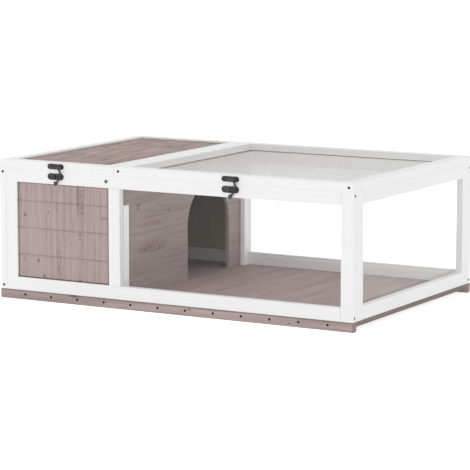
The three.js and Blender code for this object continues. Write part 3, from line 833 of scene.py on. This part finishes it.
# %% Screws
SCREW_RADIUS, SCREW_HEIGHT = 3.1 * MM, 0.5 * MM
SCREW_FROM_WALL_ENDS, SCREW_FROM_LID_ENDS = 8.8 * MM, 11.5 * MM
HOLE_DEPTH = 0.6
HOLE_PROFILE = [(3.3, -HOLE_DEPTH, 0), (3.3, 0, 0), (3.9, HOLE_DEPTH, 0)]
wall_low, wall_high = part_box("left_stile_front")
screw_heights = [wall_low.z + SCREW_FROM_WALL_ENDS, wall_high.z - SCREW_FROM_WALL_ENDS]
front_y, back_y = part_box("front_rail_top")[0].y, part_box("back_rail_top")[1].y
left_edge_x, right_x = (wall_low.x + wall_high.x) / 2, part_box("right_rail_top")[1].x

house_screws = Mould()
for z in screw_heights:
    for face, y in ((FRONT, front_y), (BACK, back_y)):
        screw_head(house_screws, face, (left_edge_x, y, z), SCREW_RADIUS, SCREW_HEIGHT)
for side in ("front", "back"):
    drill = Mould()
    for z in screw_heights:
        mouth = Vector((right_x, middle_of(f"{side}_stile_right").y, z))
        drill.turn(RIGHT, mouth, HOLE_PROFILE, HEAD_SIDES)
        screw_head(house_screws, RIGHT, mouth - RIGHT.out * HOLE_DEPTH * MM, SCREW_RADIUS, SCREW_HEIGHT)
    cutter = drill.piece(f"{side}_screw_holes", paints[2], "house", slot="white_paint")
    cutter.hide_render = cutter.hide_viewport = True
    cut = worked_copy(f"{side}_stile_right").modifiers.new("screw_holes", "BOOLEAN")
    cut.operation, cut.object, cut.solver = "DIFFERENCE", cutter, "EXACT"
house_screws.piece("house_screws", screw_steel, "house")

lid_screws = Mould()
low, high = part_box("net_lid_rail_front")
lid_back_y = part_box("net_lid_rail_back")[1].y
for x in (low.x + SCREW_FROM_LID_ENDS, high.x - SCREW_FROM_LID_ENDS):
    for face, y in ((FRONT, low.y), (BACK, lid_back_y)):
        screw_head(lid_screws, face, (x, y, (low.z + high.z) / 2), SCREW_RADIUS, SCREW_HEIGHT)
lid_screws.piece("net_lid_screws", screw_steel, "net_lid")
print("screw heads:", len(house_screws.faces), "faces in the walls,", len(lid_screws.faces), "in the net lid")

# %% [markdown]
# ## A cap and the nails
# A round grey cap covers a fixing in the front top rail, just left of the middle post. Along the base,
# each floor board is nailed to the battens, so the nails stand at the floor boards' pitch. A nail head
# is a flat disc with a rounded rim that sits a hair proud of the wood. Both are turned from one profile,
# and all nails share one object, which keeps the list of pieces short.

# %% Cap and nails
DISC_PROFILE = [(1.0, 0.0, 0.0), (1.0, 0.5, 0.3), (0.9, 0.9, 0.8), (0.6, 1.0, 0.2)]
CAP_RADIUS, CAP_HEIGHT, CAP_FROM_POST = 4.2 * MM, 1.3 * MM, 5.8 * MM
NAIL_RADIUS, NAIL_PROUD, NAIL_SIDES = 2.9 * MM, 0.25 * MM, 20
FLOOR_BOARD, FIRST_NAIL, NAIL_HEIGHT = 72.7 * MM, 68.7 * MM, 12.6 * MM

cap = Mould()
cap_place = (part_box("front_post")[0].x - CAP_FROM_POST, front_y, middle_of("front_rail_top").z)
cap.turn(FRONT, cap_place, DISC_PROFILE, HEAD_SIDES, CAP_RADIUS, CAP_HEIGHT)
cap.piece("front_rail_cap", cap_metal, "house")

nails = Mould()
batten_low, batten_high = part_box("batten_front")
batten_back_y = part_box("batten_back")[1].y
nail_count = int((batten_high.x - batten_low.x - FIRST_NAIL) / FLOOR_BOARD) + 1
for i in range(nail_count):
    x = batten_low.x + FIRST_NAIL + i * FLOOR_BOARD
    for face, y in ((FRONT, batten_low.y), (BACK, batten_back_y)):
        nails.turn(face, (x, y, NAIL_HEIGHT), DISC_PROFILE, NAIL_SIDES, NAIL_RADIUS, NAIL_PROUD)
nails.piece("base_nails", nail_steel, "house")
print("nails:", nail_count, "in each batten")

# %% [markdown]
# ## Wire net
# The run's lid is closed by a fine welded net: straight wires one way, and straight wires the other way
# lying on them. In CAD it is a flat net with far fewer gaps, which is light to check for collisions. A
# see-through pattern painted on a plane would look flat close by. Here every wire is a thin six-sided rod
# within the thickness of the CAD net, so light falls through and the net blurs to a soft grey from afar.

# %% Wire net
NET_PITCH, WIRE_RADIUS, WIRE_SIDES = 4.0 * MM, 0.25 * MM, 6
WELD_SINK = 0.05 * MM

net_low, net_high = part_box("wire_net")
wire_net = Mould()


def straight_wire(start, end, side_way):
    ring = circle(WIRE_RADIUS, WIRE_SIDES, math.pi / WIRE_SIDES)
    wire_net.loft([
        [Vector(end_point) + side_way * u + Vector((0, 0, v)) for u, v in ring] for end_point in (start, end)
    ])


def net_places(low, high):
    gaps = round((high - low - 2 * WIRE_RADIUS) / NET_PITCH)
    return np.linspace(low + WIRE_RADIUS, high - WIRE_RADIUS, gaps + 1)


lower_z = net_low.z + WIRE_RADIUS
upper_z = lower_z + 2 * WIRE_RADIUS - WELD_SINK
for x in net_places(net_low.x, net_high.x):
    straight_wire((x, net_high.y, lower_z), (x, net_low.y, lower_z), Vector((1, 0, 0)))
for y in net_places(net_low.y, net_high.y):
    straight_wire((net_low.x, y, upper_z), (net_high.x, y, upper_z), Vector((0, 1, 0)))
wire_net.piece("fine_wire_net", zinc_wire, "net_lid", "wire_net", "grey_wire")
print("net:", len(wire_net.faces), "faces, pitch", round(NET_PITCH / MM, 1), "mm")

# %% [markdown]
# ## Pressed plates
# Each lid has one latch in front, of pressed steel: an upper plate with a rib and a rivet, and a stepped
# keeper on the wall. The CAD parts have the right places and outlines but hard edges. A bevel modifier
# could soften them, but it can't give the domed rivet. So a plate is an outline that shrinks as it rises
# through a quarter round. The outline's ends are half circles or square cuts.

# %% Pressed plates
EDGE_STEPS, END_POINTS, QUARTER_TURN = 4, 14, math.pi / 2
PLATE_ROUND, EDGE_WEAR, TOP_WEAR = 0.7 * MM, 0.3, 0.8
plate_edge = arc(1.0, EDGE_STEPS + 1, 0, QUARTER_TURN)


def strap_outline(left, right, radius, inset, left_round=True, right_round=True):
    """A strap between two ends, each a half circle or a square cut, shrunk by inset."""
    r = radius - inset
    points = [(right - inset, -r), (right - inset, r)]
    if right_round:
        points = [(right - radius + x, y) for x, y in arc(r, END_POINTS, -QUARTER_TURN, math.pi)]
    if left_round:
        return points + [(left + radius + x, y) for x, y in arc(r, END_POINTS, QUARTER_TURN, math.pi)]
    return points + [(left + inset, r), (left + inset, -r)]


def pressed_plate(mould, origin, left, right, radius, foot, top, **ends):
    steps = [(strap_outline(left, right, radius, 0.0, **ends), foot, 0.0)]
    for across, up in plate_edge:
        outline = strap_outline(left, right, radius, PLATE_ROUND * (1 - across), **ends)
        wear = EDGE_WEAR + (TOP_WEAR - EDGE_WEAR) * up
        steps.append((outline, top - PLATE_ROUND * (1 - up), wear))
    mould.rise(FRONT, origin, steps)


print("a plate's edge is rounded over", round(PLATE_ROUND / MM, 1), "mm")

# %% [markdown]
# ## Latch plates and keepers
# The upper plate carries a pressed rib on its left and, on its right, the rivet: a boss that keeps the hook
# off the plate, a shank and a domed head. The keeper steps up near its middle, where a dark slot parts
# the two heights, and it has a small boss and a screw at each end. Separate small objects would be easier
# to place, but a plate and what stands on it can't drift apart as one piece. Only the slot's floor is a
# piece of its own, because it is painted near black as shade in the slot.

# %% Latch plates and keepers
PLATE_LENGTH, PLATE_WIDTH, PLATE_THICKNESS = 44.5 * MM, 12.5 * MM, 1.5 * MM
RIB_LENGTH, RIB_RADIUS, RIB_MIDDLE, RIB_TOP = 19 * MM, 2.2 * MM, -7 * MM, 2.1 * MM
RIVET_OFFSET, RIVET_SIDES = 13 * MM, 32
RIVET_PROFILE = [
    (5.5, 1.2, 0), (5.5, 2.5, 0), (5.3, 2.7, 0.5), (2.0, 2.7, 0), (2.0, 6.9, 0), (4.2, 6.9, 0.2),
    (4.2, 7.3, 0.8), (3.95, 7.75, 0.9), (3.3, 8.05, 0.5), (2.2, 8.2, 0.3),
]
KEEPER_LENGTH, KEEPER_WIDTH, KEEPER_RAISED, KEEPER_STEP = 44 * MM, 15 * MM, 2.6 * MM, -1 * MM
KEEPER_SCREW_RADIUS, KEEPER_SCREW_HEIGHT = 2.2 * MM, 0.5 * MM
KEEPER_SCREWS = ((-17.6 * MM, PLATE_THICKNESS), (17 * MM, KEEPER_RAISED))
SLOT_WIDTH, SLOT_FLOOR = 2.6 * MM, 0.5 * MM
BOSS_PLACE, BOSS_RADIUS, BOSS_PROUD = 6.5 * MM, 3.3 * MM, 0.15 * MM


def on_front(centre, right, out=0.0):
    return FRONT.place(centre, [(right, 0.0)], out)[0]


def plate_centre(lid):
    node_low, node_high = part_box(f"{lid}_latch_plate")
    return Vector((node_low.x + PLATE_LENGTH / 2, node_high.y, (node_low.z + node_high.z) / 2))


def latch_plate(lid):
    centre, plate = plate_centre(lid), Mould()
    half, rib = PLATE_LENGTH / 2, RIB_LENGTH / 2
    pressed_plate(plate, centre, -half, half, PLATE_WIDTH / 2, 0.0, PLATE_THICKNESS)
    pressed_plate(plate, centre, RIB_MIDDLE - rib, RIB_MIDDLE + rib, RIB_RADIUS, PLATE_THICKNESS, RIB_TOP)
    plate.turn(FRONT, on_front(centre, RIVET_OFFSET), RIVET_PROFILE, RIVET_SIDES)
    plate.piece(f"{lid}_latch_plate_pressed", black_metal, f"{lid}_lid", f"{lid}_latch_plate")


def latch_keeper(lid):
    centre, keeper, slot_floor = middle_of(f"{lid}_latch_keeper"), Mould(), Mould()
    centre.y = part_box(f"{lid}_latch_keeper")[1].y
    half, radius, raised = KEEPER_LENGTH / 2, KEEPER_WIDTH / 2, KEEPER_STEP + SLOT_WIDTH
    pressed_plate(keeper, centre, -half, KEEPER_STEP, radius, 0.0, PLATE_THICKNESS, right_round=False)
    pressed_plate(keeper, centre, raised, half, radius, 0.0, KEEPER_RAISED, left_round=False)
    slot = strap_outline(KEEPER_STEP - PLATE_ROUND, raised + PLATE_ROUND, radius, PLATE_ROUND, False, False)
    slot_floor.rise(FRONT, centre, [(slot, height, 0.0) for height in (0.0, SLOT_FLOOR)])
    # The slot's floor is painted shade.
    slot_floor.piece(f"{lid}_keeper_slot_floor", painted_shade_gap, "house")
    boss = on_front(centre, BOSS_PLACE, KEEPER_RAISED)
    keeper.turn(FRONT, boss, DISC_PROFILE, HEAD_SIDES, BOSS_RADIUS, BOSS_PROUD)
    for place, height in KEEPER_SCREWS:
        screw_head(keeper, FRONT, on_front(centre, place, height), KEEPER_SCREW_RADIUS, KEEPER_SCREW_HEIGHT)
    keeper.piece(f"{lid}_latch_keeper_pressed", black_metal, "house", f"{lid}_latch_keeper")


for lid in ("roof", "net"):
    latch_plate(lid)
    latch_keeper(lid)
    print(lid, "latch plate's middle at", [round(value, 4) for value in plate_centre(lid)])

# %% [markdown]
# ## Bent wire hooks
# A hook is one bent wire: an open eye round the rivet, a tail that swings out and back, and a small
# curl at the end to pull it by. A Blender curve with a round section could do it, but its ends are flat
# and its points hard to count. So the bends are points on two circles and a few places between them, a
# Catmull-Rom spline runs smoothly through them all, and a ring of points travels along it.

# %% Hooks
HOOK_WIRE, HOOK_EYE, HOOK_CURL = 2.0 * MM, 4.2 * MM, 2.85 * MM
EYE_START, CURL_END = -math.pi / 3, -1.48 * math.pi
HOOK_DROP, CURL_OFFSET = 38.4 * MM, 10.8 * MM
TAIL_SHARES = [
    (0.333, 0.068), (0.185, 0.139), (-0.037, 0.246), (-0.167, 0.368),
    (-0.27, 0.508), (-0.11, 0.664), (0.36, 0.798), (0.62, 0.9),
]
EYE_POINTS, CURL_POINTS, STEPS_BETWEEN, HOOK_SIDES = 10, 8, 6, 14
END_STEPS, END_LENGTH = (0.8, 0.45, 0.0), 0.5
HOOK_WEAR, HOOK_SMOOTH_ANGLE = 0.7, 60


def hook_bends():
    eye = arc(HOOK_EYE, EYE_POINTS, EYE_START, math.pi - EYE_START)
    tail = [(-across * CURL_OFFSET, -down * HOOK_DROP) for across, down in TAIL_SHARES]
    curl = [(x - CURL_OFFSET, y - HOOK_DROP) for x, y in arc(HOOK_CURL, CURL_POINTS, 0, CURL_END)]
    return [np.array(point) for point in eye + tail + curl]


def meet(at, start, end, first, last):
    """The place between first and last that belongs to a mark between start and end."""
    return (first * (end - at) + last * (at - start)) / (end - start)


def smooth_path(bends):
    """Centripetal Catmull-Rom spline through the bends, with the end legs mirrored."""
    run = [2 * bends[0] - bends[1], *bends, 2 * bends[-1] - bends[-2]]
    path = []
    for four in zip(run, run[1:], run[2:], run[3:]):
        marks = [0.0]
        for before, after in zip(four, four[1:]):
            marks.append(marks[-1] + math.sqrt(np.linalg.norm(after - before)))
        for at in np.linspace(marks[1], marks[2], STEPS_BETWEEN, endpoint=False):
            legs = [meet(at, marks[i], marks[i + 1], four[i], four[i + 1]) for i in range(3)]
            bows = [meet(at, marks[i], marks[i + 2], legs[i], legs[i + 1]) for i in range(2)]
            path.append(meet(at, marks[1], marks[2], *bows))
    return [*path, bends[-1]]


def wire_ring(point, way, radius):
    """A circle of points round a flat path's point, in the hook's own X, Y and Z."""
    side = np.array([way[1], -way[0]])
    ring = circle(radius, HOOK_SIDES)
    return [Vector((point[0] + side[0] * u, v, point[1] + side[1] * u)) for u, v in ring]


def end_ring(point, way, lift):
    """A ring of the wire's rounded end, lifted off it by a share of the wire's radius."""
    return wire_ring(point + way * HOOK_WIRE * lift * END_LENGTH, way, HOOK_WIRE * math.sqrt(1 - lift**2))


def bent_wire(mould, origin):
    path = smooth_path(hook_bends())
    ways = [after - before for before, after in zip([path[0], *path], [*path[1:], path[-1]])]
    ways = [way / np.linalg.norm(way) for way in ways]
    rings = [end_ring(path[0], ways[0], -lift) for lift in END_STEPS]
    rings += [wire_ring(point, way, HOOK_WIRE) for point, way in zip(path[1:-1], ways[1:-1])]
    rings += [end_ring(path[-1], ways[-1], lift) for lift in reversed(END_STEPS)]
    mould.loft([[origin + point for point in ring] for ring in rings], [HOOK_WEAR] * len(rings))
    return len(rings)


for lid in ("roof", "net"):
    eye_middle = plate_centre(lid) + FRONT.right * RIVET_OFFSET
    eye_middle.y = middle_of(f"{lid}_latch_hook").y
    hook = Mould()
    count = bent_wire(hook, eye_middle)
    hook.piece(f"{lid}_hook_bent_wire", black_metal, f"{lid}_hook", f"{lid}_latch_hook",
               smooth_angle=HOOK_SMOOTH_ANGLE)
    print(lid, "hook:", count, "rings along the wire")

# %% [markdown]
# ## Hinge leaves
# A butt hinge is two leaves whose edges are rolled into knuckles around one pin. A knuckle could be a
# plain tube, but the real one is the leaf's own strip, rolled nearly shut. So each knuckle is that
# strip's cross-section, drawn once as a C and pushed along the pin. The leaf is a plate with rounded
# corners and edges, and three small screws hold it.

# %% Hinge leaves
HINGE_LENGTH, LEAF_HEIGHT, LEAF_THICKNESS = 38 * MM, 13 * MM, 1.5 * MM
KNUCKLE_RADIUS, KNUCKLE_BORE, KNUCKLE_GAP, LEAF_NOTCH = 3 * MM, 1.6 * MM, 0.4 * MM, 3.4 * MM
LEAF_CORNER, LEAF_ROUND, LEAF_FACE = 2.5 * MM, 0.35 * MM, LEAF_THICKNESS - KNUCKLE_RADIUS
LEAF_SCREW_RADIUS, LEAF_SCREW_HEIGHT = 1.9 * MM, 0.4 * MM
LEAF_SCREW_SPREAD, LEAF_SCREW_UP = 12.5 * MM, 8.6 * MM
ROLL_SWEEP, ROLL_POINTS, CORNER_POINTS, KNUCKLE_WEAR = math.radians(292), 26, 7, 0.4
LEAF_STEPS = [  # inset, distance out from the pin's middle, and wear
    (0.0, -KNUCKLE_RADIUS, 0.0), (0.0, LEAF_FACE - LEAF_ROUND, 0.3),
    (LEAF_ROUND * 0.3, LEAF_FACE - LEAF_ROUND * 0.3, 0.8), (LEAF_ROUND, LEAF_FACE, 0.6),
]
knuckle_length = (HINGE_LENGTH - 2 * KNUCKLE_GAP) / 3
outer_roll, inner_roll = (arc(r, ROLL_POINTS, math.pi, ROLL_SWEEP) for r in (KNUCKLE_RADIUS, KNUCKLE_BORE))
knuckle_section = [(-KNUCKLE_RADIUS, LEAF_NOTCH), *outer_roll, *reversed(inner_roll), (LEAF_FACE, LEAF_NOTCH)]


def leaf_outline(inset):
    half, r, foot = HINGE_LENGTH / 2 - inset, LEAF_CORNER - inset, LEAF_NOTCH + inset
    top = LEAF_HEIGHT - inset - r
    right = [(half - r + x, top + y) for x, y in arc(r, CORNER_POINTS, 0, QUARTER_TURN)]
    left = [(-half + r + x, top + y) for x, y in arc(r, CORNER_POINTS, QUARTER_TURN, QUARTER_TURN)]
    return [(half, foot), *right, *left, (-half, foot)]


def hinge_leaf(mould, pin, up, knuckle_places):
    """A leaf above (up = 1) or below (up = -1) the pin. It stands on the back of the house."""
    face = Face((0, 1, 0), (-up, 0, 0))
    mould.rise(face, pin, [(leaf_outline(inset), out, worn) for inset, out, worn in LEAF_STEPS])
    half = up * knuckle_length / 2
    for place in knuckle_places:
        mould.loft([
            [pin + Vector((x, out, up * height)) for out, height in knuckle_section]
            for x in (place + half, place - half)
        ], [KNUCKLE_WEAR] * 2)
    for x in (-LEAF_SCREW_SPREAD, 0.0, LEAF_SCREW_SPREAD):
        spot = pin + Vector((x, LEAF_FACE, up * LEAF_SCREW_UP))
        screw_head(mould, BACK, spot, LEAF_SCREW_RADIUS, LEAF_SCREW_HEIGHT)


print("knuckles:", round(knuckle_length / MM, 1), "mm long,", len(knuckle_section), "points round")

# %% [markdown]
# ## Pins and hinges in their places
# The pin is a thin rod with a domed head at each end, turned from one profile. The photograph doesn't show
# the hinges, so their number and kind are what such lids usually have: two each. The wall's leaf carries
# the outer knuckles and the lid's leaf the middle one, and each leaf rides on what it is screwed to.

# %% Hinges
PIN_HALF = [(1.21, -20.1), (1.98, -19.86), (2.2, -19.54), (2.2, -19.3), (1.4, -19.3)]
PIN_WEAR, PIN_SIDES = [0.3, 0.7, 0.4, 0.0, 0.0] * 2, 20
pin_run = PIN_HALF + [(r, -x) for r, x in reversed(PIN_HALF)]
pin_profile = [(*ring, worn) for ring, worn in zip(pin_run, PIN_WEAR)]
outer_knuckle = knuckle_length + KNUCKLE_GAP
for hinge in [f"{lid}_hinge_{side}" for lid in ("roof", "net") for side in ("left", "right")]:
    pin_middle, lid_body = middle_of(f"{hinge}_pin"), hinge.split("_")[0] + "_lid"
    for leaf, up, places, body in (
        ("wall_leaf", -1, (-outer_knuckle, outer_knuckle), "house"), ("lid_leaf", 1, (0.0,), lid_body),
    ):
        plate = Mould()
        hinge_leaf(plate, pin_middle, up, places)
        plate.piece(f"{hinge}_{leaf}_rolled", black_metal, body, f"{hinge}_{leaf}")
    pin = Mould()
    pin.turn(RIGHT, pin_middle, pin_profile, PIN_SIDES)
    pin.piece(f"{hinge}_pin_domed", black_metal, frame["nodes"][f"{hinge}_pin"]["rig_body"], f"{hinge}_pin")
    print(hinge, "pin at", [round(value, 4) for value in pin_middle])

# %% [markdown]
# ## Light table and lamps
# The photograph is a cut-out on pure white. A light table gives the same ground in a real studio: a pale
# sheet that glows, so that the house throws only a breath of shadow. A sky picture could light it, but a
# plain white room does so evenly, and two wide soft lamps give the front a little more light than the
# side. The camera sees table and room brighter than they light the house, or the paint would burn out.

# %% Floor and light
FLOOR_SIDE, FLOOR_TONE, FLOOR_CLOUD_TONE, FLOOR_ROUGHNESS = 30.0, (0.93,) * 3, (0.93 * 0.985,) * 3, 0.9
FLOOR_SEEN, FLOOR_LIGHT, FLOOR_CLOUD_SCALE = 0.75, 0.19, 1.5
ROOM_SEEN, ROOM_LIGHT = 1.0, 0.81
LAMPS = {
    "front_lamp": ((0.6, -4.5, 1.2), 2.0, 15.0),
    "top_lamp": ((-1.0, 0.0, 3.5), 3.0, 20.5),
}

table_finish, table_tree, table_shader = new_finish("pale_floor")
table_clouds = noise(object_place(table_tree), scale=FLOOR_CLOUD_SCALE)
table_colour = blend_colours(table_clouds, FLOOR_TONE, FLOOR_CLOUD_TONE)
lights_house = node(table_tree, "LightPath").outputs["Is Diffuse Ray"]
feed(table_shader, {
    "Base Color": table_colour, "Emission Color": table_colour, "Roughness": FLOOR_ROUGHNESS,
    "Emission Strength": between(lights_house, 0, 1, FLOOR_SEEN, FLOOR_LIGHT),
})
half = FLOOR_SIDE / 2
table_mesh = bpy.data.meshes.new("pale_floor")
table_corners = [(-half, -half, 0), (half, -half, 0), (half, half, 0), (-half, half, 0)]
table_mesh.from_pydata(table_corners, [], [(0, 1, 2, 3)])
table_mesh.materials.append(table_finish)
table = bpy.data.objects.new("pale_floor", table_mesh)
scene.collection.objects.link(table)

room = bpy.data.worlds.new("white_studio")
room.use_nodes = True
seen_directly = node(room.node_tree, "LightPath").outputs["Is Camera Ray"]
room_strength = between(seen_directly, 0, 1, ROOM_LIGHT, ROOM_SEEN)
feed(room.node_tree.nodes["Background"].inputs, {"Color": (1, 1, 1), "Strength": room_strength})
scene.world = room

for name, (place, size, power) in LAMPS.items():
    lamp_data = bpy.data.lights.new(name, "AREA")
    lamp_data.size, lamp_data.energy = size, power
    lamp = bpy.data.objects.new(name, lamp_data)
    lamp.location = place
    lamp.rotation_euler = Vector(place).to_track_quat("Z", "Y").to_euler()
    scene.collection.objects.link(lamp)
scene.view_settings.view_transform = "Standard"
print("lamps:", {name: power for name, (_, _, power) in LAMPS.items()})
